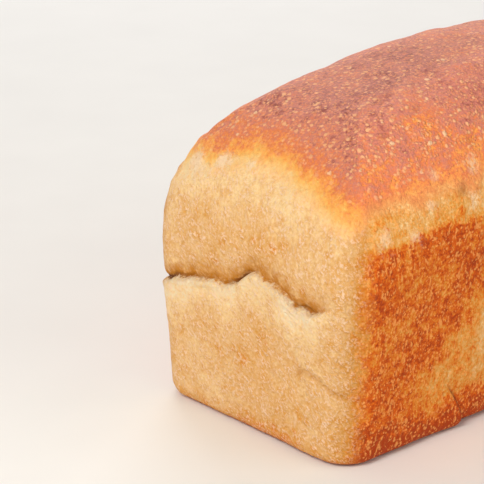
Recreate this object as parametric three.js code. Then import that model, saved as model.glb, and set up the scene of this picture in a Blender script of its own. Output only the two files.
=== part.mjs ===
// A loaf of bread baked in an open tin.
//
// The loaf is one closed solid. The tin gives it a flat base, four walls that lean out a little and
// rounded upright corners; above the tin's rim the dough has risen into a broad crown. A crease
// crosses one end wall, where the dough folded over itself as it rose, and a smaller fold marks the
// foot of one long wall.
//
// The crust is where a distance function is zero. A box of grid points is drawn around the loaf, and
// each point slides in towards a core box, deep in the crumb, until it meets the crust.
//
// Frame, in millimetres: X runs along the loaf, Y across it and Z up. The origin is the middle of
// the base. The creased end faces -X and the folded long wall faces -Y.

import * as THREE from 'three';
import { mergeVertices } from 'three/addons/utils/BufferGeometryUtils.js';

const { clamp, lerp, smoothstep } = THREE.MathUtils;

// The part of the loaf inside the tin.
const BASE_LENGTH = 233;
const BASE_WIDTH = 105;
const RIM_HEIGHT = 89;
const END_LEAN = 0.038;
const SIDE_LEAN = 0.068;
const LEAN_KEPT_ABOVE_RIM = 0.35;
const BASE_CORNER_RADIUS = 14;
const RIM_CORNER_RADIUS = 16;
const CORNER_GROWTH_ABOVE_RIM = 0.3;
const BASE_EDGE_RADIUS = 5;

// The crown, which falls away from its middle towards the sides and the ends.
const CROWN_HEIGHT = 134;
const CROWN_DROP_ACROSS = 7.3;
const CROWN_DROP_ALONG = 18.3;
const CROWN_POWER_ACROSS = 2.2;
const CROWN_POWER_ALONG = 2.5;
const SHOULDER_RADIUS = 43;

// Gentle swells keep the long walls from being too regular, and the crown dips a little on its way
// to the creased end.
const SWELL_HEIGHT = 0.6;
const SWELL_LENGTH = 24;
const CROWN_DIP = 1.2;
const CROWN_DIP_PLACE = -65;
const CROWN_DIP_LENGTH = 29;

// The crease: the height of its lip at distances across the end wall.
const CREASE_PATH = [
  [-64, 68], [-46, 65], [-37, 61], [-27, 60.5], [-18, 64.5], [-4, 66.5], [7, 59.5], [22, 57],
  [36, 54.5], [46, 50], [64, 46],
];
const CREASE_LEVEL = 60;
const LIP_RISE = 1.3;
const LIP_REACH = 14;
const CREASE_DEPTH = 2.6;
const CREASE_REACH = 11;
const CREASE_FADE_START = 20;
const CREASE_FADE_END = 45;
const CREASE_STOP_START = 36;
const CREASE_STOP_END = 50;

// The fold: its distance from the foot of the creased end at each height.
const FOLD_PATH = [[0, 61], [5, 62.5], [12, 59], [24, 51]];
const FOLD_RISE = 1.1;
const FOLD_REACH = 7;
const FOLD_TOP = 24;
const FOLD_LEVEL = 60 - halfOf(BASE_LENGTH);

// Bands of grid steps, each [end of band, steps in it], from the low side of the grid box.
const GRID_MARGIN = 24;
const ALONG_BANDS = [[FOLD_LEVEL - 8, 9], [FOLD_LEVEL + 8, 5], [halfOf(BASE_LENGTH) + GRID_MARGIN, 20]];
const ACROSS_BANDS = [[halfOf(BASE_WIDTH) + GRID_MARGIN, 22]];
const UP_BANDS = [[CREASE_LEVEL - 6, 11], [CREASE_LEVEL + 6, 5], [CROWN_HEIGHT + GRID_MARGIN, 13]];
const LINE_BEND_REACH = 46;

// The core box that the grid points slide towards.
const CORE_INSET = 36;
const CORE_BOTTOM = 36;
const CORE_TOP = 86;
const SEARCH_STEPS = 40;
const FLAT_TOLERANCE = 1e-4;
const MERGE_TOLERANCE = 1e-3;

const CRUST_COLOUR = 0xd2782f;
const CRUST_ROUGHNESS = 0.7;

function halfOf(size) {
  return size / 2;
}

// A smooth curve through [position, value] pairs, read at one position.
function readPath(path, position) {
  const last = path.length - 1;
  const at = clamp(position, path[0][0], path[last][0]);
  let index = 0;
  while (index < last - 1 && at > path[index + 1][0]) index += 1;
  const slope = (i) => {
    const before = path[Math.max(i - 1, 0)];
    const after = path[Math.min(i + 1, last)];
    return (after[1] - before[1]) / (after[0] - before[0]);
  };
  const [startAt, startValue] = path[index];
  const [endAt, endValue] = path[index + 1];
  const width = endAt - startAt;
  const t = (at - startAt) / width;
  const rising = t * t * (3 - 2 * t);
  const startTangent = t * (1 - t) * (1 - t) * width * slope(index);
  const endTangent = t * t * (t - 1) * width * slope(index + 1);
  return startValue + (endValue - startValue) * rising + startTangent + endTangent;
}

// Distance to a corner where two faces meet, with the edge between them rounded. Negative is inside.
function roundedCorner(firstDistance, secondDistance, radius) {
  const first = firstDistance + radius;
  const second = secondDistance + radius;
  const outside = Math.hypot(Math.max(first, 0), Math.max(second, 0));
  return outside + Math.min(Math.max(first, second), 0) - radius;
}

// How far the end wall stands back at the crease: a proud lip below it and a hollow above it.
function creaseSetBack(x, y, z) {
  const fadeAlong = 1 - smoothstep(x + halfOf(BASE_LENGTH), CREASE_FADE_START, CREASE_FADE_END);
  const fadeAcross = 1 - smoothstep(-y, CREASE_STOP_START, CREASE_STOP_END);
  const fade = fadeAlong * fadeAcross;
  const above = z - readPath(CREASE_PATH, y);
  if (above < 0) return -fade * LIP_RISE * Math.exp(above / LIP_REACH);
  return fade * CREASE_DEPTH * Math.exp(-above / CREASE_REACH);
}

// How far the folded wall stands back: the fold's near side is proud and its far side sunken.
function foldSetBack(x, y, z) {
  if (y > 0) return 0;
  const past = x + halfOf(BASE_LENGTH) - readPath(FOLD_PATH, z);
  const fade = 1 - smoothstep(z, FOLD_TOP / 2, FOLD_TOP);
  return Math.sign(past) * fade * FOLD_RISE * Math.exp(-Math.abs(past) / FOLD_REACH);
}

function wallDistance(x, y, z) {
  const height = Math.max(z, 0);
  const rise = Math.min(height, RIM_HEIGHT) + LEAN_KEPT_ABOVE_RIM * Math.max(height - RIM_HEIGHT, 0);
  const tinPart = Math.min(height / RIM_HEIGHT, 1);
  const cornerRadius = lerp(BASE_CORNER_RADIUS, RIM_CORNER_RADIUS, tinPart)
    + CORNER_GROWTH_ABOVE_RIM * Math.max(height - RIM_HEIGHT, 0);
  const pastEnd = Math.abs(x) - halfOf(BASE_LENGTH) - END_LEAN * rise;
  const pastSide = Math.abs(y) - halfOf(BASE_WIDTH) - SIDE_LEAN * rise;
  const swell = SWELL_HEIGHT * Math.sin(x / SWELL_LENGTH) * Math.sin(z / SWELL_LENGTH + Math.sign(y));
  const smoothWalls = roundedCorner(pastEnd, pastSide - swell, cornerRadius);
  return smoothWalls + creaseSetBack(x, y, z) + foldSetBack(x, y, z);
}

function crownDistance(x, y, z) {
  const across = Math.abs(y) / halfOf(BASE_WIDTH);
  const along = Math.abs(x) / halfOf(BASE_LENGTH);
  const dropAcross = CROWN_DROP_ACROSS * across ** CROWN_POWER_ACROSS;
  const dropAlong = CROWN_DROP_ALONG * along ** CROWN_POWER_ALONG;
  const dip = CROWN_DIP * Math.cos((x - CROWN_DIP_PLACE) / CROWN_DIP_LENGTH);
  return z - CROWN_HEIGHT + dropAcross + dropAlong + dip;
}

function crustDistance(x, y, z) {
  const overBase = roundedCorner(wallDistance(x, y, z), crownDistance(x, y, z), SHOULDER_RADIUS);
  return roundedCorner(overBase, -z, BASE_EDGE_RADIUS);
}

// The places of the grid's steps along one axis.
function gridPlaces(start, bands) {
  const places = [start];
  for (const [bandEnd, steps] of bands) {
    const bandStart = places[places.length - 1];
    for (let step = 1; step <= steps; step += 1) {
      places.push(lerp(bandStart, bandEnd, step / steps));
    }
  }
  return places;
}

// Rows of the grid bend to follow the crease and columns to follow the fold.
function bendLines(outer, crust) {
  const pastEnd = crust.x + halfOf(BASE_LENGTH);
  const nearEnd = 1 - smoothstep(pastEnd, CREASE_FADE_END, 2 * CREASE_FADE_END);
  const nearCrease = 1 - smoothstep(Math.abs(outer.z - CREASE_LEVEL), 0, LINE_BEND_REACH);
  const rowShift = (readPath(CREASE_PATH, crust.y) - CREASE_LEVEL) * nearCrease * nearEnd;
  const nearFoot = crust.y < 0 ? 1 - smoothstep(crust.z, 0, 2 * FOLD_TOP) : 0;
  const nearFold = 1 - smoothstep(Math.abs(outer.x - FOLD_LEVEL), 0, LINE_BEND_REACH);
  const foldAt = readPath(FOLD_PATH, crust.z) - halfOf(BASE_LENGTH);
  const columnShift = (foldAt - FOLD_LEVEL) * nearFold * nearFoot;
  return new THREE.Vector3(outer.x + columnShift, outer.y, outer.z + rowShift);
}

// Slides a point of the grid box along its ray to the core until it lies on the crust.
function slideToCrust(outer) {
  const coreX = halfOf(BASE_LENGTH) - CORE_INSET;
  const coreY = halfOf(BASE_WIDTH) - CORE_INSET;
  const coreLow = new THREE.Vector3(-coreX, -coreY, CORE_BOTTOM);
  const coreHigh = new THREE.Vector3(coreX, coreY, CORE_TOP);
  const core = outer.clone().clamp(coreLow, coreHigh);
  let inside = 0;
  let outside = 1;
  const point = new THREE.Vector3();
  for (let step = 0; step < SEARCH_STEPS; step += 1) {
    const middle = (inside + outside) / 2;
    point.lerpVectors(core, outer, middle);
    if (crustDistance(point.x, point.y, point.z) < 0) inside = middle;
    else outside = middle;
  }
  if (Math.abs(point.z) < FLAT_TOLERANCE) point.z = 0;
  return point;
}

// Two triangles for each cell of a sheet of points, turned to face out of the box.
function sheetTriangles(columns, rows, atHighEnd) {
  const indices = [];
  for (let row = 0; row < rows - 1; row += 1) {
    for (let column = 0; column < columns - 1; column += 1) {
      const a = row * columns + column;
      const b = a + 1;
      const c = b + columns;
      const d = a + columns;
      indices.push(...(atHighEnd ? [a, b, c, a, c, d] : [a, c, b, a, d, c]));
    }
  }
  return indices;
}

// One face of the grid box, slid in to the crust.
function gridFace(places, fixedAxis, atHighEnd) {
  const uAxis = (fixedAxis + 1) % 3;
  const vAxis = (fixedAxis + 2) % 3;
  const uPlaces = places[uAxis];
  const vPlaces = places[vAxis];
  const fixedPlace = atHighEnd ? places[fixedAxis].at(-1) : places[fixedAxis][0];
  const positions = [];
  for (const v of vPlaces) {
    for (const u of uPlaces) {
      const outer = new THREE.Vector3().setComponent(fixedAxis, fixedPlace);
      outer.setComponent(uAxis, u).setComponent(vAxis, v);
      const bent = bendLines(outer, slideToCrust(outer));
      positions.push(...slideToCrust(bent).toArray());
    }
  }
  return { positions, indices: sheetTriangles(uPlaces.length, vPlaces.length, atHighEnd) };
}

function makeLoafGeometry() {
  const places = [
    gridPlaces(-halfOf(BASE_LENGTH) - GRID_MARGIN, ALONG_BANDS),
    gridPlaces(-halfOf(BASE_WIDTH) - GRID_MARGIN, ACROSS_BANDS),
    gridPlaces(-GRID_MARGIN, UP_BANDS),
  ];
  const positions = [];
  const indices = [];
  for (const fixedAxis of [0, 1, 2]) {
    for (const atHighEnd of [false, true]) {
      const face = gridFace(places, fixedAxis, atHighEnd);
      const offset = positions.length / 3;
      positions.push(...face.positions);
      indices.push(...face.indices.map((index) => index + offset));
    }
  }
  const sheets = new THREE.BufferGeometry();
  sheets.setAttribute('position', new THREE.Float32BufferAttribute(positions, 3));
  sheets.setIndex(indices);
  const loaf = mergeVertices(sheets, MERGE_TOLERANCE);
  loaf.computeVertexNormals();
  return loaf;
}

function makeLoaf() {
  const crust = new THREE.MeshStandardMaterial({
    color: CRUST_COLOUR,
    roughness: CRUST_ROUGHNESS,
    metalness: 0,
  });
  const loaf = new THREE.Mesh(makeLoafGeometry(), crust);
  loaf.name = 'loaf';
  return loaf;
}

const tinLoaf = new THREE.Group();
tinLoaf.name = 'tin_loaf';
tinLoaf.add(makeLoaf());

export default tinLoaf;
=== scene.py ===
"""A tin loaf: the baked crust that stands for the CAD node "loaf".

The crust is one closed mesh. Its broad shape repeats the CAD part's distance function, in
millimetres. The crease on the end wall and the fold at the foot of the long wall step the walls in
and out, and wrinkles, lumps and pits are added along the crust's normals. Broad colour zones are
vertex attributes worked out from position, and the material adds the blisters, flecks and mottling.
"""

import math

import bpy
import numpy as np
from mathutils import Matrix, Vector


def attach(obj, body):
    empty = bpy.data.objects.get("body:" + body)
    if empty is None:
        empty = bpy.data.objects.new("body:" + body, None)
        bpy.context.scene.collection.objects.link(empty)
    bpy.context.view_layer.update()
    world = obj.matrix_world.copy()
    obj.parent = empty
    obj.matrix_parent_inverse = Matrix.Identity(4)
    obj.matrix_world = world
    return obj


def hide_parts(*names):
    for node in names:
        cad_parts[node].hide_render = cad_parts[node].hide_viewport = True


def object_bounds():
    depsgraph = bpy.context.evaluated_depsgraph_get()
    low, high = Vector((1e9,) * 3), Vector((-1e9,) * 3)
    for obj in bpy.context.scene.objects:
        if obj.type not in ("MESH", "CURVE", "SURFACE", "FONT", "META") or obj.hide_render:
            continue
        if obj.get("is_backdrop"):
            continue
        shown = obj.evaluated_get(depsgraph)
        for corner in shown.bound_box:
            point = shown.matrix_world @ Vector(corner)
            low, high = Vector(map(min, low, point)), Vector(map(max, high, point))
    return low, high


MM = 0.001

# The part of the loaf inside the tin, as in the CAD part.
BASE_LENGTH = 233.0
BASE_WIDTH = 105.0
RIM_HEIGHT = 89.0
END_LEAN = 0.038
SIDE_LEAN = 0.068
LEAN_KEPT_ABOVE_RIM = 0.35
BASE_CORNER_RADIUS = 14.0
RIM_CORNER_RADIUS = 16.0
CORNER_GROWTH_ABOVE_RIM = 0.3
BASE_EDGE_RADIUS = 5.0

# The crown, which falls away from its middle towards the sides and the ends.
CROWN_HEIGHT = 134.0
CROWN_DROP_ACROSS = 7.3
CROWN_DROP_ALONG = 18.3
CROWN_POWER_ACROSS = 2.2
CROWN_POWER_ALONG = 2.5
SHOULDER_RADIUS = 43.0

# Gentle swells keep the long walls from being too regular, and the crown dips a little on its way
# to the creased end.
SWELL_HEIGHT = 0.6
SWELL_LENGTH = 24.0
CROWN_DIP = 1.2
CROWN_DIP_PLACE = -65.0
CROWN_DIP_LENGTH = 29.0

# The crease across the end wall: the height of its lip at distances across the loaf.
CREASE_PATH = [
    (-64, 68), (-46, 65), (-37, 61), (-27, 60.5), (-18, 64.5), (-4, 66.5), (7, 59.5), (22, 57),
    (36, 54.5), (46, 50), (64, 46),
]
CREASE_LEVEL = 60.0
# Where the crease fades out: along the long walls, from the end wall on, and across the end wall,
# towards the folded wall.
CREASE_FADE = (20.0, 45.0)
CREASE_STOP = (34.0, 49.0)
# How far the crease gapes at distances across the loaf, from 0 to 1.
CREASE_GAPE = [
    (-50, 0.0), (-37, 0.35), (-30, 0.55), (-22, 0.2), (-14, 0.1), (-4, 0.15), (4, 0.9), (9, 0.5),
    (15, 0.2), (26, 0.3), (36, 0.5), (46, 1.0), (64, 1.0),
]
# The ragged lip stands proud below the crease, and the gap and the hollow lie over it.
LIP_RISE = 1.5
LIP_REACH = 13.0
LIP_RADIUS = 2.2
LIP_LUMP = 7.0
RAGGED_LIP = 0.7
RAGGED_LIP_SIZE = 4.5
RAGGED_PHASE = 36.0
GAP_DEPTH = 2.2
GAP_REACH = 1.6
HOLLOW_DEPTH = 1.9
HOLLOW_REACH = 9.0
HOLLOW_STOP = (34.0, 50.0)

# The fold at the foot of the long wall: its distance from the creased end at each height.
FOLD_PATH = [(0, 61), (5, 62.5), (12, 59), (24, 51)]
FOLD_LEVEL = -BASE_LENGTH / 2 + 60
FOLD_RISE = 1.5
FOLD_SINK = 0.9
FOLD_REACH = 8.0
FOLD_EDGE = 1.2
FOLD_TOP = 24.0
LIFTED_FOOT = 1.5
LIFTED_LENGTH = 45.0

# A small wrinkle low on the creased end: the height of its line at distances across the loaf.
WRINKLE_PATH = [(-52, 29), (-44, 31.5), (-37, 34.4), (-31, 35.6), (-27, 33), (-24, 29.5)]
WRINKLE_DEPTH = 0.9
WRINKLE_REACH = 1.8
WRINKLE_FADE = (5.0, 4.0)

# Lumps all over the crust, on the crown, on the band over the rim and on the end walls, each
# (height, size).
BROAD_LUMPS = (0.45, 30.0)
SMALL_LUMPS = (0.24, 7.0)
FINE_LUMPS = (0.12, 3.1)
CROWN_LUMPS = (0.5, 17.0)
BAND_WRINKLES = (0.6, 5.0)
BAND_STRETCH = [0.35, 0.35, 1.0]
END_DIMPLES = (0.26, 6.0)

# Where the crown's colour begins: over an end wall's middle, over a long wall, and how much lower
# it begins at an end wall's corners. Its edge is ragged, (height, size), and wavy.
CROWN_EDGE_OVER_END = 106
CROWN_EDGE_OVER_SIDE = 101
CROWN_EDGE_CORNER_DROP = 15
CROWN_EDGE_RAGGED = (1.8, 9.0)
CROWN_EDGE_WAVES = (2.5, 35.0)

# How browned each zone is, from 0 to 1, and how much its features add or take away.
BLOTCH_SIZE = 26.0
END_BAKE = 0.38
END_FOOT = 12
END_FOOT_BAKE = 0.2
# The end walls' top and the crease's lip are paler, partly by a painted highlight.
END_TOP = (78, 98)
END_TOP_PALENESS_AND_HIGHLIGHT = 0.17
END_BLOTCHES = 0.07
PALE_LIP_REACH = 14
LIP_PALENESS_AND_HIGHLIGHT = 0.26
SIDE_BAKE = 0.83
# The long walls' foot is browner, partly painted shade near the floor.
SIDE_FOOT = 18
SIDE_FOOT_BAKE_AND_SHADE = 0.28
SIDE_BLOTCHES = 0.1
BAND_EDGE_RAGGED = (2, 8.0)
BAND_EDGE_WAVES = (3, 32.0)
BAND_PALENESS = 0.4
PATCH_PALENESS = 0.37
CROWN_BAKE = 0.54
# The crown's top is darker and greyer, a painted sheen.
CROWN_TOP_PAINTED_SHEEN = 0.16
CROWN_BLOTCHES = 0.1
UNRIPE_SIDE_BAKE = 0.3

# The middle and half size of the pale patch on the folded wall, along the loaf and up. It fades
# between these parts of its half size.
PALE_PATCH_PLACE = (-44.0, 37.0)
PALE_PATCH_SIZE = (42.0, 21.0)
PALE_PATCH_RAGGED = (0.45, 18.0)
PALE_PATCH_FADE = (0.35, 1.25)

# Places where the crust flakes and pits in the crown, each (x, y, z, radius).
FLAKY_SPOTS = [
    (-109, 36, 99, 4.5), (-108, 22, 102, 4), (-108, 7, 103, 2), (-102, -28, 106, 1.6),
    (-70, -50, 106, 2.6), (-51, -51, 106, 2.8), (-100, -54, 89, 3.4), (-86, -56, 88, 2.6),
    (-55, -57, 95, 2.8), (-76, -54, 97, 2), (24, -57, 95, 2.4), (71, -56, 92, 2.8),
    (-58, 57, 93, 3), (12, 57, 95, 2.4), (66, 56, 91, 2.8), (113, 12, 96, 3), (112, -30, 92, 2.4),
]
PITS = [
    (-58.2, -54.3, 98.8, 2.2), (-79, -33, 118, 2.0), (-60, -30, 124, 1.8), (-84, -28, 118, 1.6),
    (-46, -44, 113, 1.8),
]
PIT_DEPTH = 1.3

# Bands of the grid, each (end of band, step in it), from the low side of the grid box.
GRID_MARGIN = 24.0
ALONG_BANDS = [
    (FOLD_LEVEL - 2.5, 1.4), (FOLD_LEVEL + 1.5, 0.5), (-20, 1.5),
    (BASE_LENGTH / 2 + GRID_MARGIN, 2.6),
]
ACROSS_BANDS = [(BASE_WIDTH / 2 + GRID_MARGIN, 1.4)]
UP_BANDS = [
    (CREASE_LEVEL - 9, 1.7), (CREASE_LEVEL - 3, 0.9), (CREASE_LEVEL + 1.2, 0.35),
    (CREASE_LEVEL + 8, 0.8), (CROWN_HEIGHT + GRID_MARGIN, 1.6),
]
# How far from the crease and the fold the grid's lines still bend to follow them.
LINE_BEND_REACH = 46.0
# The core box, deep in the crumb, and the halvings in the search for the crust.
CORE_INSET = 36.0
CORE_BOTTOM = 36.0
CORE_TOP = 86.0
SEARCH_STEPS = 34

# The map of the crust, in millimetres: charts lie this far apart, and the base is drawn smaller.
ATLAS_GAP = 3.0
BASE_CHART_SCALE = 0.5

# The camera looks along the view's axis at a point on the creased end wall.
VIEW_AZIMUTH = math.radians(-42.49)
VIEW_ELEVATION = math.radians(20.44)
VIEW_DISTANCE = 742 * MM
VIEW_AIM = Vector((-122.9, -3.1, 80.4)) * MM
VIEW_LENS = 149.35
SENSOR_WIDTH = 36.0
CLIP_START = 10 * MM

# The studio, in metres and watts. Each light is (name, azimuth, elevation, distance, size, power,
# colour), with its angles in degrees and azimuth 0 in front of the loaf, on the -Y side.
LIGHTS = [
    ("key", -74, 40, 1.6, 0.7, 16.6, (1, 0.96, 0.9)),
    ("fill", 25, 25, 1.8, 1.2, 7.4, (1, 0.95, 0.9)),
    ("sheen", 145, 34, 1.7, 1.0, 11, (0.96, 0.97, 1)),
]
ROOM_COLOUR = (1, 0.97, 0.94, 1)
ROOM_STRENGTH = 0.4
FLOOR_SIZE = 6
FLOOR_COLOURS = ((232, 230, 226), (238, 236, 232))
FLOOR_MOTTLE_MM = 60
FLOOR_ROUGHNESS = 0.8


# --- the crust's broad shape, in millimetres ---

def smoothstep(value, low, high):
    t = np.clip((value - low) / (high - low), 0, 1)
    return t * t * (3 - 2 * t)


def read_path(path, position):
    """A smooth curve through (position, value) pairs, read at many positions."""
    at, value = np.array(path, float).T
    before = np.maximum(np.arange(len(at)) - 1, 0)
    after = np.minimum(np.arange(len(at)) + 1, len(at) - 1)
    slope = (value[after] - value[before]) / (at[after] - at[before])
    position = np.clip(position, at[0], at[-1])
    i = np.clip(np.searchsorted(at, position) - 1, 0, len(at) - 2)
    width = at[i + 1] - at[i]
    t = (position - at[i]) / width
    rising = t * t * (3 - 2 * t)
    start = t * (1 - t) ** 2 * width * slope[i]
    end = t * t * (t - 1) * width * slope[i + 1]
    return value[i] + (value[i + 1] - value[i]) * rising + start + end


def rounded_corner(first, second, radius):
    """Distance to a corner of two faces with a rounded edge. Negative is inside."""
    first = first + radius
    second = second + radius
    outside = np.hypot(np.maximum(first, 0), np.maximum(second, 0))
    return outside + np.minimum(np.maximum(first, second), 0) - radius


def wall_distance(points):
    """Distance to the four walls, which lean out and have rounded upright corners."""
    x, y, z = points.T
    height = np.maximum(z, 0)
    over_rim = np.maximum(height - RIM_HEIGHT, 0)
    rise = np.minimum(height, RIM_HEIGHT) + LEAN_KEPT_ABOVE_RIM * over_rim
    tin_part = np.minimum(height / RIM_HEIGHT, 1)
    radius = BASE_CORNER_RADIUS + (RIM_CORNER_RADIUS - BASE_CORNER_RADIUS) * tin_part
    radius = radius + CORNER_GROWTH_ABOVE_RIM * over_rim
    past_end = np.abs(x) - BASE_LENGTH / 2 - END_LEAN * rise
    past_side = np.abs(y) - BASE_WIDTH / 2 - SIDE_LEAN * rise
    swell = SWELL_HEIGHT * np.sin(x / SWELL_LENGTH) * np.sin(z / SWELL_LENGTH + np.sign(y))
    return rounded_corner(past_end, past_side - swell, radius)


def crown_distance(points):
    """Height over the crown's top surface, which falls away towards the sides and the ends."""
    x, y, z = points.T
    across = np.abs(y) / (BASE_WIDTH / 2)
    along = np.abs(x) / (BASE_LENGTH / 2)
    drop = CROWN_DROP_ACROSS * across ** CROWN_POWER_ACROSS
    drop = drop + CROWN_DROP_ALONG * along ** CROWN_POWER_ALONG
    dip = CROWN_DIP * np.cos((x - CROWN_DIP_PLACE) / CROWN_DIP_LENGTH)
    return z - CROWN_HEIGHT + drop + dip


def past_fold(points):
    """How far points lie past the fold, along the loaf."""
    return points[:, 0] + BASE_LENGTH / 2 - read_path(FOLD_PATH, points[:, 2])


def base_edge_radius(points):
    """The radius at the foot of the walls, larger where the long wall's foot lifts past the fold."""
    past = past_fold(points)
    lifted = smoothstep(past, -1, 1) * (1 - smoothstep(past, 10, LIFTED_LENGTH))
    return BASE_EDGE_RADIUS + LIFTED_FOOT * lifted * (points[:, 1] < 0)


def loaf_distance(points, wall_set_back=0):
    """Distance to the crust's broad shape. The walls may be set back from it, point by point."""
    walls = wall_distance(points) + wall_set_back
    over_base = rounded_corner(walls, crown_distance(points), SHOULDER_RADIUS)
    return rounded_corner(over_base, -points[:, 2], base_edge_radius(points))


def loaf_normals(points, step=0.5):
    """Outward normals of the crust's broad shape."""
    slopes = []
    for axis in np.eye(3) * step:
        slopes.append(loaf_distance(points + axis) - loaf_distance(points - axis))
    normals = np.array(slopes).T
    return normals / np.linalg.norm(normals, axis=1)[:, None]


# --- noise, for relief and for colour zones ---

class Noise:
    """Smooth noise about 0 on a seeded table of random values.

    Uses of one noise shift the points, or take another size, so that no two look alike.
    """

    CELLS = 64

    def __init__(self, seed):
        shape = (self.CELLS,) * 3
        self.table = np.random.default_rng(seed).uniform(-1, 1, shape)

    def at(self, points, size):
        """Noise from -1 to 1. size is how far apart its lumps are, in millimetres."""
        cells = points / size
        corner = np.floor(cells).astype(int)
        blend = smoothstep(cells - corner, 0, 1)
        total = np.zeros(len(points))
        for offset in np.ndindex(2, 2, 2):
            weight = np.prod(np.where(offset, blend, 1 - blend), axis=1)
            total += weight * self.table[tuple((corner + offset).T % self.CELLS)]
        return total

    def layered(self, points, size, layers=3):
        """Each layer is half the size and half the strength of the one before."""
        return sum(self.at(points + 17 * k, size / 2 ** k) / 2 ** k for k in range(layers))


def lumpy(noise, points, height_and_size, layers=3):
    """Noise with lumps of about the given height and size."""
    height, size = height_and_size
    return height * noise.layered(points, size, layers)


LUMPS = Noise(1)
WRINKLES = Noise(2)
RAGGED = Noise(3)
PATCHES = Noise(4)


# --- the crease and the fold, which step the walls in and out ---

def lip_height(y):
    """The height of the crease's ragged lip at distances across the loaf."""
    line = np.stack([y + RAGGED_PHASE, 0 * y, 0 * y], axis=1)
    return read_path(CREASE_PATH, y) + RAGGED_LIP * RAGGED.layered(line, RAGGED_LIP_SIZE)


def crease_strength(x, y):
    """1 over most of the creased end wall, fading out along the long walls and before one corner."""
    along = 1 - smoothstep(x + BASE_LENGTH / 2, *CREASE_FADE)
    return along * (1 - smoothstep(-y, *CREASE_STOP))


def crease_set_back(points):
    """How far the crease sets the walls back: a proud puffy lip, and over it a gap and a hollow."""
    x, y, z = points.T
    above = z - lip_height(y)
    lumps = RAGGED.layered(np.stack([y, 0 * y, 0 * y + 9], axis=1), LIP_LUMP)
    rise = LIP_RISE * (1 + 0.5 * lumps)
    gap = GAP_DEPTH * read_path(CREASE_GAPE, y)
    sunken = HOLLOW_DEPTH * (1 - smoothstep(y, *HOLLOW_STOP))
    rounding = np.clip(1 + above / LIP_RADIUS, 0, 1)
    roll = 1 - np.sqrt(1 - rounding ** 2)
    lip = -rise * np.exp(np.minimum(above, 0) / LIP_REACH) + (rise + gap + sunken) * roll
    over = np.maximum(above, 0)
    hollow = gap * np.exp(-over / GAP_REACH) + sunken * np.exp(-over / HOLLOW_REACH)
    return crease_strength(x, y) * np.where(above < 0, lip, hollow)


def fold_set_back(points):
    """How far the fold sets the wall back: it swells up to a rounded edge and is sunken past it."""
    past = past_fold(points)
    rounding = np.clip(1 + past / FOLD_EDGE, 0, 1)
    roll = 1 - np.sqrt(1 - rounding ** 2)
    swelling = -FOLD_RISE * np.exp(np.minimum(past, 0) / FOLD_REACH)
    swelling = swelling + (FOLD_RISE + FOLD_SINK) * roll
    sunken = FOLD_SINK * np.exp(-np.maximum(past, 0) / FOLD_REACH)
    on_wall = np.where(points[:, 1] < 0, 1 - smoothstep(points[:, 2], FOLD_TOP / 2, FOLD_TOP), 0)
    return on_wall * np.where(past < 0, swelling, sunken)


# --- the grid box around the loaf, which slides in to the crust ---

def grid_places(start, bands):
    """Where the grid's lines are along one axis."""
    places = [start]
    for band_end, step in bands:
        count = round((band_end - places[-1]) / step)
        places.extend(np.linspace(places[-1], band_end, count + 1)[1:])
    return np.array(places)


def slide_to_crust(outer, distance):
    """Slides points of the grid box towards the core until they lie on the crust."""
    core_half = np.array([BASE_LENGTH / 2 - CORE_INSET, BASE_WIDTH / 2 - CORE_INSET])
    low = [*-core_half, CORE_BOTTOM]
    high = [*core_half, CORE_TOP]
    core = np.clip(outer, low, high)
    inside = np.zeros(len(outer))
    outside = np.ones(len(outer))
    for _ in range(SEARCH_STEPS):
        middle = (inside + outside) / 2
        buried = distance(core + (outer - core) * middle[:, None]) < 0
        inside = np.where(buried, middle, inside)
        outside = np.where(buried, outside, middle)
    return core + (outer - core) * middle[:, None]


def bend_lines(outer):
    """Bends the grid's rows to follow the crease and its columns to follow the fold."""
    crust = slide_to_crust(outer, loaf_distance)
    bent = outer.copy()
    past_end = crust[:, 0] + BASE_LENGTH / 2
    near_end = 1 - smoothstep(past_end, CREASE_FADE[1], 2 * CREASE_FADE[1])
    near_crease = 1 - smoothstep(np.abs(outer[:, 2] - CREASE_LEVEL), 0, LINE_BEND_REACH)
    bent[:, 2] += (lip_height(crust[:, 1]) - CREASE_LEVEL) * near_crease * near_end
    near_fold = 1 - smoothstep(np.abs(outer[:, 0] - FOLD_LEVEL), 0, LINE_BEND_REACH)
    near_foot = np.where(crust[:, 1] < 0, 1 - smoothstep(crust[:, 2], 0, 2 * FOLD_TOP), 0)
    fold_at = read_path(FOLD_PATH, crust[:, 2]) - BASE_LENGTH / 2
    bent[:, 0] += (fold_at - FOLD_LEVEL) * near_fold * near_foot
    return bent


def stepped_distance(points):
    """Distance to the loaf with its crease and fold."""
    return loaf_distance(points, crease_set_back(points) + fold_set_back(points))


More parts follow.
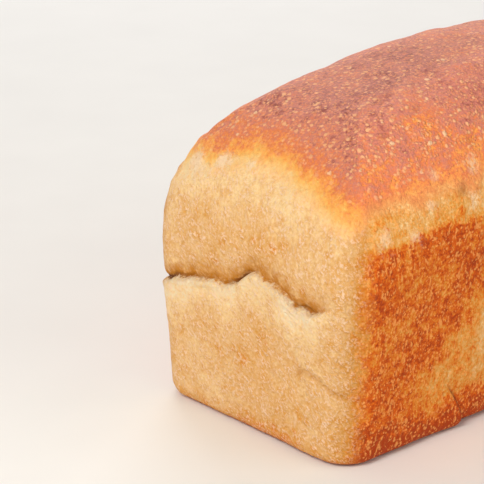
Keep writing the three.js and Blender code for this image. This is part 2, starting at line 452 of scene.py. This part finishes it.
class GridBox:
    """The lines of a closed box grid, its points and its outward faces, sheet by sheet."""

    def __init__(self):
        self.places = [
            grid_places(-BASE_LENGTH / 2 - GRID_MARGIN, ALONG_BANDS),
            grid_places(-BASE_WIDTH / 2 - GRID_MARGIN, ACROSS_BANDS),
            grid_places(-GRID_MARGIN, UP_BANDS),
        ]
        self.sheets = [self.sheet(axis, high) for axis in range(3) for high in (False, True)]
        codes = np.concatenate([sheet["codes"].ravel() for sheet in self.sheets])
        self.codes = np.unique(codes)

    def sheet(self, axis, at_high_end):
        """One side of the box: the lattice code of each of its points."""
        u_axis, v_axis = (axis + 1) % 3, (axis + 2) % 3
        sizes = [len(p) for p in self.places]
        u, v = np.meshgrid(np.arange(sizes[u_axis]), np.arange(sizes[v_axis]), indexing="ij")
        lattice = [None] * 3
        lattice[axis] = np.full_like(u, sizes[axis] - 1 if at_high_end else 0)
        lattice[u_axis] = u
        lattice[v_axis] = v
        return {"axis": axis, "high": at_high_end, "codes": np.ravel_multi_index(lattice, sizes)}

    def points(self):
        lattice = np.unravel_index(self.codes, [len(p) for p in self.places])
        return np.stack([self.places[axis][lattice[axis]] for axis in range(3)], axis=1)

    def faces(self, sheet):
        """The sheet's quads, as point numbers, turned to face out of the box."""
        ids = np.searchsorted(self.codes, sheet["codes"])
        quads = np.stack([ids[:-1, :-1], ids[1:, :-1], ids[1:, 1:], ids[:-1, 1:]], axis=-1)
        quads = quads.reshape(-1, 4)
        return quads if sheet["high"] else quads[:, ::-1]


# --- relief: what stands out of the broad shape, along its normals ---

def end_share(normals):
    """How squarely each point faces along the loaf rather than across it, from 0 to 1."""
    return np.abs(normals[:, 0]) / np.maximum(np.hypot(normals[:, 0], normals[:, 1]), 1e-6)


def marks(points, places, edge):
    """How far each point lies in one of some round marks, from 0 to 1, with ragged edges."""
    ragged = 1 + 0.5 * RAGGED.at(points, 2.2)
    strength = np.zeros(len(points))
    for *middle, radius in places:
        away = np.linalg.norm(points - middle, axis=1) * ragged / radius
        strength = np.maximum(strength, 1 - smoothstep(away, 1 - edge, 1 + edge))
    return strength


def wrinkle(points):
    """1 on the small wrinkle's line and 0 away from it."""
    x, y, z = points.T
    near = 1 - smoothstep(np.abs(z - read_path(WRINKLE_PATH, y)), 0, WRINKLE_REACH)
    first, last = WRINKLE_PATH[0][0], WRINKLE_PATH[-1][0]
    span = smoothstep(y, first, first + WRINKLE_FADE[0])
    span = span * (1 - smoothstep(y, last - WRINKLE_FADE[1], last))
    return near * span * (x < -BASE_LENGTH / 2 + BASE_CORNER_RADIUS)


def facing_down(normals):
    """1 on the base and 0 on the walls."""
    return smoothstep(-normals[:, 2], 0.5, 0.9)


def relief(points, normals):
    """How far the crust stands out of its broad shape, in millimetres."""
    z = points[:, 2]
    lumps = lumpy(LUMPS, points, BROAD_LUMPS) + lumpy(LUMPS, points + 40, SMALL_LUMPS)
    over_rim = smoothstep(z, RIM_HEIGHT - 6, RIM_HEIGHT + 8)
    crown_lumps = over_rim * lumpy(LUMPS, points + 80, CROWN_LUMPS)
    band = smoothstep(z, RIM_HEIGHT - 4, RIM_HEIGHT + 4)
    band = band * (1 - smoothstep(z, RIM_HEIGHT + 12, RIM_HEIGHT + 24))
    wrinkles = band * lumpy(WRINKLES, points * BAND_STRETCH, BAND_WRINKLES)
    fine = lumpy(WRINKLES, points, FINE_LUMPS, layers=1)
    dimples = end_share(normals) * lumpy(WRINKLES, points + 50, END_DIMPLES)
    dents = PIT_DEPTH * marks(points, PITS, edge=0.9) + WRINKLE_DEPTH * wrinkle(points)
    proud = lumps + crown_lumps + wrinkles + fine + dimples - dents
    return proud * (1 - facing_down(normals))


def crust_points(grid):
    """The grid's points on the finished crust, and the broad shape's normals there."""
    bent = bend_lines(grid.points())
    points = slide_to_crust(bent, stepped_distance)
    normals = loaf_normals(points)
    points = points + normals * relief(points, normals)[:, None]
    points[:, 2] = np.maximum(points[:, 2], 0)
    return points, normals


# --- colour zones, as vertex attributes ---

def end_zone(points, normals):
    """1 on the end walls and 0 on the long walls, with a ragged change at the corners."""
    end = smoothstep(end_share(normals) + 0.1 * PATCHES.at(points, 4.0), 0.2, 0.98)
    return end * (1 - facing_down(normals))


def crown_edge(points, end):
    """The height at which the crown's colour begins, ragged and lower at the end walls' corners."""
    corner = smoothstep(np.abs(points[:, 1]), 3, 62)
    over_end = CROWN_EDGE_OVER_END - CROWN_EDGE_CORNER_DROP * corner
    edge = end * over_end + (1 - end) * CROWN_EDGE_OVER_SIDE
    edge = edge + lumpy(PATCHES, points, CROWN_EDGE_RAGGED)
    return edge + lumpy(PATCHES, points + 20, CROWN_EDGE_WAVES, layers=1)


def end_bake(points, above_lip, blotches):
    """The end walls are pale: palest at the lip and the top, where a painted highlight adds to the
    paleness, and browner at the foot.
    """
    x, y, z = points.T
    below_lip = np.exp(-(above_lip / PALE_LIP_REACH) ** 2) * (above_lip < 0)
    lip = crease_strength(x, y) * below_lip
    foot = 1 - smoothstep(z, 0, END_FOOT)
    top = smoothstep(z, *END_TOP)
    bake = END_BAKE + END_FOOT_BAKE * foot - END_TOP_PALENESS_AND_HIGHLIGHT * top
    return bake + END_BLOTCHES * blotches - LIP_PALENESS_AND_HIGHLIGHT * lip


def pale_patch(points):
    """An irregular pale patch low on the folded wall, from 0 to 1."""
    x, y, z = points.T
    along = (x - PALE_PATCH_PLACE[0]) / PALE_PATCH_SIZE[0]
    up = (z - PALE_PATCH_PLACE[1]) / PALE_PATCH_SIZE[1]
    beyond = np.hypot(along, up) + lumpy(PATCHES, points + 90, PALE_PATCH_RAGGED)
    return (1 - smoothstep(beyond, *PALE_PATCH_FADE)) * (y < 0)


def side_bake(points, blotches):
    """The long walls are brown, with a paler band over the tin's rim, a paler patch low down, and a
    browner foot darkened by painted shade near the floor.
    """
    x, y, z = points.T
    ragged = z + lumpy(PATCHES, points + 30, BAND_EDGE_RAGGED)
    ragged = ragged + lumpy(PATCHES, points + 10, BAND_EDGE_WAVES, layers=1)
    pale_band = smoothstep(ragged, RIM_HEIGHT - 4, RIM_HEIGHT + 1)
    pale_band = pale_band * (1 - 0.3 * smoothstep(x, -BASE_LENGTH / 4, BASE_LENGTH / 4))
    foot = 1 - smoothstep(z, 0, SIDE_FOOT)
    bake = SIDE_BAKE + SIDE_BLOTCHES * blotches - BAND_PALENESS * pale_band
    return bake - PATCH_PALENESS * pale_patch(points) + SIDE_FOOT_BAKE_AND_SHADE * foot


def crown_bake(points, end, edge, ripe, blotches):
    """The crown is red-brown where it is ripe, golden at its edge, and darker and greyer at its top,
    a painted sheen.
    """
    top = smoothstep(points[:, 2], edge + 9, CROWN_HEIGHT - 6)
    bake = UNRIPE_SIDE_BAKE * (1 - end) * (1 - ripe) + CROWN_BAKE * ripe
    return bake + CROWN_BLOTCHES * blotches + CROWN_TOP_PAINTED_SHEEN * top


def fold_shadow_line(points):
    """1 along the fold's line, where its shadow is painted dark, and 0 away from it."""
    on_foot = (points[:, 1] < 0) * (1 - smoothstep(points[:, 2], FOLD_TOP / 2, FOLD_TOP))
    return on_foot * np.exp(-((past_fold(points) - 0.3) / 0.8) ** 2)


def colour_zones(points, normals):
    """What the material needs to know of each point, by attribute name.

    "above_lip" is a height in millimetres over the crease's lip, and the others are amounts, mostly
    from 0 to 1. The crown is ripe where its colour and its blisters have fully come out.
    """
    x, y, z = points.T
    end = end_zone(points, normals)
    edge = crown_edge(points, end)
    crown = smoothstep(z, edge - 7, edge + 3)
    ripe = smoothstep(z, edge - 3 - 4 * (1 - end), edge + 14)
    blotches = PATCHES.layered(points + 60, BLOTCH_SIZE)
    above_lip = z - lip_height(y)

    tin_bake = end * end_bake(points, above_lip, blotches) + (1 - end) * side_bake(points, blotches)
    ripe_bake = crown_bake(points, end, edge, ripe, blotches)
    tin_uneven = 1 - 0.5 * end
    # The crown's top is less mottled, a painted hazy sheen.
    crown_uneven = 0.25 + 0.85 * ripe - 0.35 * smoothstep(z, CROWN_HEIGHT - 16, CROWN_HEIGHT - 2)
    return {
        "crown": crown,
        "bake": tin_bake * (1 - crown) + ripe_bake * crown,
        "uneven": tin_uneven * (1 - crown) + crown_uneven * crown,
        "blistered": ripe,
        "end": end,
        "side": 1 - end,
        "above_lip": above_lip,
        "creased": crease_strength(x, y),
        "gape": read_path(CREASE_GAPE, y) ** 1.5,
        # Painted shade along the fold's line and in the pits.
        "painted_shade": np.maximum(fold_shadow_line(points), 0.25 * marks(points, PITS, edge=0.7)),
        "wrinkle": wrinkle(points),
        "flaky": marks(points, FLAKY_SPOTS, edge=0.8) * (0.6 + 0.4 * end),
    }


# --- the mesh ---

def atlas_charts(grid, points):
    """Each sheet's own coordinates, in millimetres, and its column in the map.

    The long walls and the crown share one column, the end walls and the base the other.
    """
    charts = []
    for sheet in grid.sheets:
        ids = np.searchsorted(grid.codes, sheet["codes"])
        at = points[ids]
        along_u = np.linalg.norm(np.diff(at, axis=0), axis=2).mean(axis=1)
        along_v = np.linalg.norm(np.diff(at, axis=1), axis=2).mean(axis=0)
        u, v = np.meshgrid(np.append(0, np.cumsum(along_u)), np.append(0, np.cumsum(along_v)),
                           indexing="ij")
        is_long_wall = sheet["axis"] == 1
        is_crown = sheet["axis"] == 2 and sheet["high"]
        is_base = sheet["axis"] == 2 and not sheet["high"]
        chart = np.stack([v, u] if is_long_wall else [u, v], axis=-1)
        charts.append({
            "uv": chart * (BASE_CHART_SCALE if is_base else 1),
            "column": 0 if is_long_wall or is_crown else 1,
        })
    return charts


def place_charts(charts):
    """Stacks the charts in two columns and scales them all to fill a square."""
    left = ATLAS_GAP
    top = 0
    for column in (0, 1):
        height = ATLAS_GAP
        width = 0
        for chart in charts:
            if chart["column"] == column:
                chart["uv"] = chart["uv"] + [left, height]
                height = chart["uv"][..., 1].max() + ATLAS_GAP
                width = max(width, chart["uv"][..., 0].max())
        left = width + ATLAS_GAP
        top = max(top, height)
    side = max(left, top)
    return [chart["uv"] / side for chart in charts]


def loop_uvs(grid, charts):
    """One UV pair for each face corner, in the order that the faces are listed."""
    corners = []
    for sheet, uv in zip(grid.sheets, charts):
        quads = np.stack([uv[:-1, :-1], uv[1:, :-1], uv[1:, 1:], uv[:-1, 1:]], axis=2)
        quads = quads.reshape(-1, 4, 2)
        corners.append(quads if sheet["high"] else quads[:, ::-1])
    return np.concatenate(corners)


def build_loaf():
    """The crust as one closed mesh, with its map and its colour zones."""
    grid = GridBox()
    points, normals = crust_points(grid)
    faces = np.concatenate([grid.faces(sheet) for sheet in grid.sheets])
    mesh = bpy.data.meshes.new("baked_crust")
    mesh.from_pydata(points * MM, [], faces)
    mesh.shade_smooth()
    for name, values in colour_zones(points, normals).items():
        mesh.attributes.new(name, "FLOAT", "POINT").data.foreach_set("value", values)
    uv_map = mesh.uv_layers.new(name="OFBake")
    uvs = loop_uvs(grid, place_charts(atlas_charts(grid, points)))
    uv_map.data.foreach_set("uv", uvs.ravel())
    loaf = bpy.data.objects.new("baked_crust", mesh)
    bpy.context.scene.collection.objects.link(loaf)
    return loaf


# --- materials ---

def srgb(red, green, blue):
    """A colour given as on a screen, from 0 to 255, as Blender's linear colour."""
    def linear(value):
        value /= 255
        return value / 12.92 if value <= 0.04045 else ((value + 0.055) / 1.055) ** 2.4
    return linear(red), linear(green), linear(blue), 1


class Nodes:
    """Short ways to add shader nodes to a material and join them."""

    def __init__(self, material):
        material.use_nodes = True
        self.tree = material.node_tree
        self.shader = self.tree.nodes["Principled BSDF"]

    def join(self, socket, value):
        """Links a socket's value, or sets a plain one."""
        if isinstance(value, bpy.types.NodeSocket):
            self.tree.links.new(value, socket)
        else:
            socket.default_value = value

    def add(self, kind, **inputs):
        """A new node, with inputs by name: an underscore stands for a space."""
        node = self.tree.nodes.new(kind)
        for name, value in inputs.items():
            self.join(node.inputs[name.replace("_", " ")], value)
        return node

    def attribute(self, name):
        node = self.tree.nodes.new("ShaderNodeAttribute")
        node.attribute_name = name
        return node.outputs["Fac"]

    def place(self, stretch=(1, 1, 1), turn=(0, 0, 0)):
        """The crust's own coordinates in metres, turned and then stretched along each axis."""
        node = self.add("ShaderNodeMapping", Scale=stretch, Rotation=turn)
        node.vector_type = "TEXTURE"
        source = self.tree.nodes.new("ShaderNodeTexCoord")
        self.join(node.inputs["Vector"], source.outputs["Object"])
        return node.outputs["Vector"]

    def ruffled(self, place, size_mm, shift_mm):
        """Coordinates pushed about by noise, so that what is drawn in them is less regular."""
        noise = self.add("ShaderNodeTexNoise", Scale=1 / (size_mm * MM), Vector=place)
        node = self.tree.nodes.new("ShaderNodeVectorMath")
        node.operation = "MULTIPLY_ADD"
        self.join(node.inputs[0], noise.outputs["Color"])
        node.inputs[1].default_value = (shift_mm * MM,) * 3
        self.join(node.inputs[2], place)
        return node.outputs["Vector"]

    def noise(self, size_mm, detail=3.0, roughness=0.55, place=None):
        """Noise about 0.5, with lumps of about the given size."""
        node = self.add("ShaderNodeTexNoise", Scale=1 / (size_mm * MM), Detail=detail,
                        Roughness=roughness, Vector=place or self.place())
        return node.outputs["Fac"]

    def cells(self, size_mm, place):
        """Voronoi cells: the distance from each cell's middle, and a random colour for each."""
        node = self.add("ShaderNodeTexVoronoi", Scale=1 / (size_mm * MM), Vector=place)
        return node.outputs["Distance"], node.outputs["Color"]

    def math(self, operation, first, second=0.0, third=0.0):
        node = self.tree.nodes.new("ShaderNodeMath")
        node.operation = operation
        for socket, value in zip(node.inputs, (first, second, third)):
            self.join(socket, value)
        return node.outputs["Value"]

    def fade(self, value, low, high):
        """0 below low and 1 above high, or the other way round where low is the larger."""
        node = self.tree.nodes.new("ShaderNodeMapRange")
        node.interpolation_type = "SMOOTHSTEP"
        falling = low > high
        limits = (high, low, 1, 0) if falling else (low, high, 0, 1)
        for name, limit in zip(("From Min", "From Max", "To Min", "To Max"), limits):
            node.inputs[name].default_value = limit
        self.join(node.inputs["Value"], value)
        return node.outputs["Result"]

    def ramp(self, value, stops):
        """The colour at a value among stops, each (value, colour as on a screen)."""
        node = self.tree.nodes.new("ShaderNodeValToRGB")
        elements = node.color_ramp.elements
        while len(elements) < len(stops):
            elements.new(1)
        for element, (position, colour) in zip(elements, stops):
            element.position = position
            element.color = srgb(*colour)
        self.join(node.inputs["Fac"], value)
        return node.outputs["Color"]

    def mix(self, factor, first, second):
        """From the first colour at factor 0 to the second at 1.

        The node has a set of sockets for each kind of value, all named alike, so they are numbered.
        """
        node = self.tree.nodes.new("ShaderNodeMix")
        node.data_type = "RGBA"
        self.join(node.inputs[0], factor)
        self.join(node.inputs[6], first)
        self.join(node.inputs[7], second)
        return node.outputs[2]

    def bump(self, height, distance_mm):
        return self.add("ShaderNodeBump", Height=height, Distance=distance_mm * MM).outputs["Normal"]


# Colours from the least to the most baked, each (bake, colour).
TIN_COLOURS = [
    (0.0, (255, 240, 208)), (0.2, (255, 217, 156)), (0.38, (236, 182, 114)),
    (0.52, (228, 161, 74)), (0.66, (228, 134, 36)), (0.82, (216, 92, 0)), (1.0, (176, 62, 0)),
]
# The crown's most baked colours are greyish mauve, and at its top they paint a sheen.
CROWN_COLOURS = [
    (0.0, (255, 212, 136)), (0.15, (255, 192, 98)), (0.3, (252, 164, 78)),
    (0.45, (236, 130, 76)), (0.7, (216, 132, 112)), (1.0, (160, 78, 66)),
]
# The crown's blisters, each (texture, height at which it is fully coloured, strength, colour).
BLISTERS = [
    ("granules", 1.0, 0.5, (248, 156, 98)), ("tiny", 0.7, 0.6, (255, 176, 124)),
    ("small", 0.5, 0.9, (255, 188, 134)), ("large", 0.5, 0.95, (255, 206, 160)),
]
# The corners between the end and long walls are browner, partly painted shade where the walls turn.
CORNER_BROWN_AND_SHADE_COLOUR = (190, 122, 38)
FLECK_COLOUR = (252, 174, 92)
FLAKE_COLOUR = (255, 220, 188)
# Brown over the crease's hollow and the small wrinkle, partly painted shade in these recesses.
CREASE_BROWN_AND_SHADE_COLOUR = (204, 130, 30)
FLOUR_COLOUR = (255, 226, 192)
# Painted shade in the crease's gap, along the fold's line and in the pits.
GAP_SHADE_COLOUR = (112, 48, 18)
# How strongly the noises vary the bake, and how fully each kind of mark is coloured.
UNEVEN_BAKE = [("patches", 0.4), ("mottle", 0.85), ("grain", 0.8)]
TOASTED_BAKE = 0.11
FLECK_STRENGTH = 0.7
FLAKE_STRENGTH = 0.56
FLOUR_STRENGTH = 0.8
WRINKLE_STRENGTH = 0.5
GAP_SHADE_STRENGTH = 0.9
# The crust is dull, and its crown a little less so.
TIN_ROUGHNESS = 0.76
CROWN_ROUGHNESS = 0.56
ROUGHNESS_VARIATION = 0.3
SPECULAR_LEVEL = 0.25
BUMP_HEIGHT_MM = 1.0


def scaled(nodes, value, *factors):
    """The product of a value and some factors."""
    for factor in factors:
        value = nodes.math("MULTIPLY", value, factor)
    return value


def vary(nodes, value, noise, strength):
    """Adds a noise about 0.5 to a value."""
    return nodes.math("MULTIPLY_ADD", nodes.math("SUBTRACT", noise, 0.5), strength, value)


def tinted(nodes, colour, mask, towards):
    """A colour, turned to a fixed colour where the mask is 1."""
    return nodes.mix(mask, colour, srgb(*towards))


def domes(nodes, size_mm, least, most, place):
    """Round blisters, one to a cell, as heights: each has its own radius as a part of the cell."""
    distance, random = nodes.cells(size_mm, place)
    radius = nodes.math("MAXIMUM", nodes.math("MULTIPLY_ADD", random, most - least, least), 0.01)
    part = nodes.math("DIVIDE", distance, radius)
    return nodes.math("MAXIMUM", nodes.math("MULTIPLY_ADD", scaled(nodes, part, part), -1, 1), 0)


def crust_textures(nodes):
    """The noises and blisters that the crust's colour and relief share, with sizes in millimetres."""
    loose = nodes.ruffled(nodes.place(), 1.6, 1.0)
    upright = nodes.place((1, 1, 2))
    slanted = nodes.ruffled(nodes.place((1, 1, 1.4), (math.radians(-40), 0, 0)), 1.8, 1.2)
    return {
        "patches": nodes.noise(13, detail=2),
        "toasted": nodes.noise(6),
        "mottle": nodes.noise(3.6, roughness=0.65),
        "ragged": nodes.noise(2.2, detail=2, roughness=0.6),
        "grain": nodes.noise(1.2, roughness=0.65),
        "flecks": nodes.noise(1.4, detail=2, roughness=0.6, place=upright),
        "flakes": nodes.noise(0.95, roughness=0.7, place=slanted),
        "granules": nodes.fade(nodes.noise(1.3, detail=1, place=loose), 0.53, 0.65),
        "tiny": domes(nodes, 1.5, 0.1, 0.6, loose),
        "small": domes(nodes, 2.3, 0.0, 0.52, loose),
        "large": domes(nodes, 4.6, -0.3, 0.32, loose),
    }


def crust_bake(nodes, textures):
    """How browned the crust is: the broad zones, made uneven at several sizes."""
    bake = nodes.attribute("bake")
    for name, strength in UNEVEN_BAKE:
        uneven = scaled(nodes, nodes.attribute("uneven"), strength)
        bake = vary(nodes, bake, textures[name], uneven)
    toasted = nodes.fade(textures["toasted"], 0.52, 0.7)
    on_end = scaled(nodes, nodes.attribute("end"), TOASTED_BAKE)
    return nodes.math("MULTIPLY_ADD", toasted, on_end, bake)


def tin_colour(nodes, textures, bake):
    """The walls have corners browned and darkened by painted shade, flecks on the long walls and
    flakes on the end walls.
    """
    end = nodes.attribute("end")
    side = nodes.attribute("side")
    corner = scaled(nodes, end, side, 2)
    colour = tinted(nodes, nodes.ramp(bake, TIN_COLOURS), corner, CORNER_BROWN_AND_SHADE_COLOUR)
    flecks = nodes.fade(textures["flecks"], 0.54, 0.68)
    flecks = nodes.math("MAXIMUM", flecks, nodes.fade(textures["tiny"], 0.1, 0.8))
    colour = tinted(nodes, colour, scaled(nodes, flecks, side, FLECK_STRENGTH), FLECK_COLOUR)
    flakes = scaled(nodes, nodes.fade(textures["flakes"], 0.46, 0.62), end, FLAKE_STRENGTH)
    clusters = nodes.math("ADD", nodes.fade(textures["mottle"], 0.38, 0.62), 0.5)
    return tinted(nodes, colour, scaled(nodes, flakes, clusters), FLAKE_COLOUR)


def crown_colour(nodes, textures, bake):
    """The crown is covered in pale blisters."""
    colour = nodes.ramp(bake, CROWN_COLOURS)
    for name, full_height, strength, blister_colour in BLISTERS:
        blister = nodes.fade(textures[name], 0, full_height)
        blister = scaled(nodes, blister, nodes.attribute("blistered"), strength)
        colour = tinted(nodes, colour, blister, blister_colour)
    return colour


def crease_masks(nodes, ragged):
    """The hollow over the crease's lip, brown and darkened by painted shade, the gap at the lip,
    darker with painted shade, and the lip itself.
    """
    above = vary(nodes, nodes.attribute("above_lip"), ragged, 2.5)
    hollow = scaled(nodes, nodes.fade(above, -0.4, 0.3), nodes.fade(above, 9.5, 1.0))
    gap = scaled(nodes, nodes.fade(above, -0.5, 0.2), nodes.fade(above, 2.2, 0.6))
    gap = scaled(nodes, gap, nodes.attribute("gape"))
    lip = scaled(nodes, nodes.fade(above, -4, -1), nodes.fade(above, 0.3, -0.3))
    lip = scaled(nodes, lip, nodes.attribute("end"))
    return [scaled(nodes, mask, nodes.attribute("creased")) for mask in (hollow, gap, lip)]


def floury_mask(nodes, flakes, lip):
    """Loose floury flakes on the crease's lip and in the flaky spots."""
    flaky = nodes.attribute("flaky")
    loose = nodes.fade(nodes.math("MULTIPLY_ADD", flaky, 0.18, flakes), 0.46, 0.6)
    return scaled(nodes, loose, nodes.math("MAXIMUM", flaky, lip))


def crust_height(nodes, textures, floury):
    """The crust's finest relief, for the bump: each texture with its strength."""
    side = nodes.attribute("side")
    blisters = nodes.math("MAXIMUM", textures["small"], textures["large"])
    blisters = nodes.math("MAXIMUM", blisters, scaled(nodes, textures["tiny"], 0.5))
    blisters = nodes.math("MULTIPLY_ADD", textures["granules"], 0.3, blisters)
    layers = [
        (textures["mottle"], 0.8),
        (textures["grain"], 0.5),
        (textures["flecks"], scaled(nodes, side, 0.4)),
        (textures["tiny"], scaled(nodes, side, 0.2)),
        (textures["flakes"], scaled(nodes, nodes.attribute("end"), 1.2)),
        (blisters, scaled(nodes, nodes.attribute("blistered"), 0.42)),
        (floury, 0.1),
    ]
    height = 0
    for layer, strength in layers:
        height = nodes.math("MULTIPLY_ADD", layer, strength, height)
    return height


def crust_colour(nodes, textures, floury, hollow, gap):
    """The walls' and the crown's colours, with flour, with brown and painted shade in the crease's
    hollow and the wrinkle, and with darker painted shade in the crease's gap, along the fold's line
    and in the pits.
    """
    bake = crust_bake(nodes, textures)
    walls = tin_colour(nodes, textures, bake)
    colour = nodes.mix(nodes.attribute("crown"), walls, crown_colour(nodes, textures, bake))
    # The hollow and the wrinkle are browned and darkened with painted shade.
    browned_and_shaded = scaled(nodes, hollow, nodes.fade(textures["mottle"], 0.2, 0.6))
    wrinkle_browned_and_shaded = scaled(nodes, nodes.attribute("wrinkle"), WRINKLE_STRENGTH)
    colour = tinted(nodes, colour, nodes.math("MAXIMUM", browned_and_shaded, wrinkle_browned_and_shaded), CREASE_BROWN_AND_SHADE_COLOUR)
    colour = tinted(nodes, colour, scaled(nodes, floury, FLOUR_STRENGTH), FLOUR_COLOUR)
    # Painted shade, darkest in the crease's gap, along the fold's line and in the pits.
    painted_shade = nodes.math("MAXIMUM", scaled(nodes, gap, GAP_SHADE_STRENGTH), nodes.attribute("painted_shade"))
    return tinted(nodes, colour, painted_shade, GAP_SHADE_COLOUR)


def crust_roughness(nodes, grain):
    polish = CROWN_ROUGHNESS - TIN_ROUGHNESS
    rough = nodes.math("MULTIPLY_ADD", nodes.attribute("crown"), polish, TIN_ROUGHNESS)
    return vary(nodes, rough, grain, ROUGHNESS_VARIATION)


def crust_material():
    material = bpy.data.materials.new("bread_crust")
    nodes = Nodes(material)
    textures = crust_textures(nodes)
    hollow, gap, lip = crease_masks(nodes, textures["ragged"])
    floury = floury_mask(nodes, textures["flakes"], lip)
    height = crust_height(nodes, textures, floury)
    shader = nodes.shader.inputs
    nodes.join(shader["Base Color"], crust_colour(nodes, textures, floury, hollow, gap))
    nodes.join(shader["Roughness"], crust_roughness(nodes, textures["grain"]))
    nodes.join(shader["Normal"], nodes.bump(height, BUMP_HEIGHT_MM))
    shader["Specular IOR Level"].default_value = SPECULAR_LEVEL
    return material


def floor_material():
    material = bpy.data.materials.new("pale_floor")
    nodes = Nodes(material)
    faint = nodes.noise(FLOOR_MOTTLE_MM, detail=2)
    darker, lighter = FLOOR_COLOURS
    colour = nodes.mix(faint, srgb(*darker), srgb(*lighter))
    nodes.join(nodes.shader.inputs["Base Color"], colour)
    nodes.shader.inputs["Roughness"].default_value = FLOOR_ROUGHNESS
    return material


# --- the studio ---

def add_floor():
    bpy.ops.mesh.primitive_plane_add(size=FLOOR_SIZE)
    floor = bpy.context.object
    floor.name = "floor"
    floor.data.materials.append(floor_material())
    floor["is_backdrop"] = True


def direction(azimuth, elevation):
    """The way from the loaf at an azimuth, with 0 on the -Y side, and an elevation, in radians."""
    level = math.cos(elevation)
    return Vector((math.sin(azimuth) * level, -math.cos(azimuth) * level, math.sin(elevation)))


def add_light(name, azimuth, elevation, distance, size, power, colour):
    """A square soft light that faces the loaf's base."""
    towards = direction(math.radians(azimuth), math.radians(elevation))
    light = bpy.data.lights.new(name, "AREA")
    light.size = size
    light.energy = power
    light.color = colour
    lamp = bpy.data.objects.new(name, light)
    lamp.location = towards * distance
    lamp.rotation_euler = towards.to_track_quat("Z", "Y").to_euler()
    bpy.context.scene.collection.objects.link(lamp)


def add_studio():
    world = bpy.data.worlds.new("studio")
    bpy.context.scene.world = world
    world.use_nodes = True
    background = world.node_tree.nodes["Background"]
    background.inputs["Color"].default_value = ROOM_COLOUR
    background.inputs["Strength"].default_value = ROOM_STRENGTH
    for light in LIGHTS:
        add_light(*light)
    bpy.context.scene.view_settings.view_transform = "Standard"


def add_camera():
    """The camera looks down its own -Z, with +X to the right of the picture."""
    back = direction(VIEW_AZIMUTH, VIEW_ELEVATION)
    right = Vector((math.cos(VIEW_AZIMUTH), math.sin(VIEW_AZIMUTH), 0))
    turn = Matrix((right, back.cross(right), back)).transposed()
    data = bpy.data.cameras.new("camera")
    data.lens = VIEW_LENS
    data.sensor_width = SENSOR_WIDTH
    data.clip_start = CLIP_START
    camera = bpy.data.objects.new("camera", data)
    camera.matrix_world = Matrix.Translation(VIEW_AIM + back * VIEW_DISTANCE) @ turn.to_4x4()
    bpy.context.scene.collection.objects.link(camera)
    bpy.context.scene.camera = camera


def main():
    cad_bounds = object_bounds()
    loaf = build_loaf()
    loaf.data.materials.append(crust_material())
    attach(loaf, "root")
    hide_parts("loaf")
    add_floor()
    add_studio()
    add_camera()
    boxes = {"cad": cad_bounds, "visual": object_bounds()}
    boxes = {name: [list(corner) for corner in box] for name, box in boxes.items()}


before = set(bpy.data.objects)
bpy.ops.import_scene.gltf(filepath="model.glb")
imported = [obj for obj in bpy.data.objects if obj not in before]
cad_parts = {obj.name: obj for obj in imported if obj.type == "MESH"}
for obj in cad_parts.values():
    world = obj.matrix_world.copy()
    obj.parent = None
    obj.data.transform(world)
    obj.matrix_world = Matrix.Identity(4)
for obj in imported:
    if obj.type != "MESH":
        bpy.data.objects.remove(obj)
main()
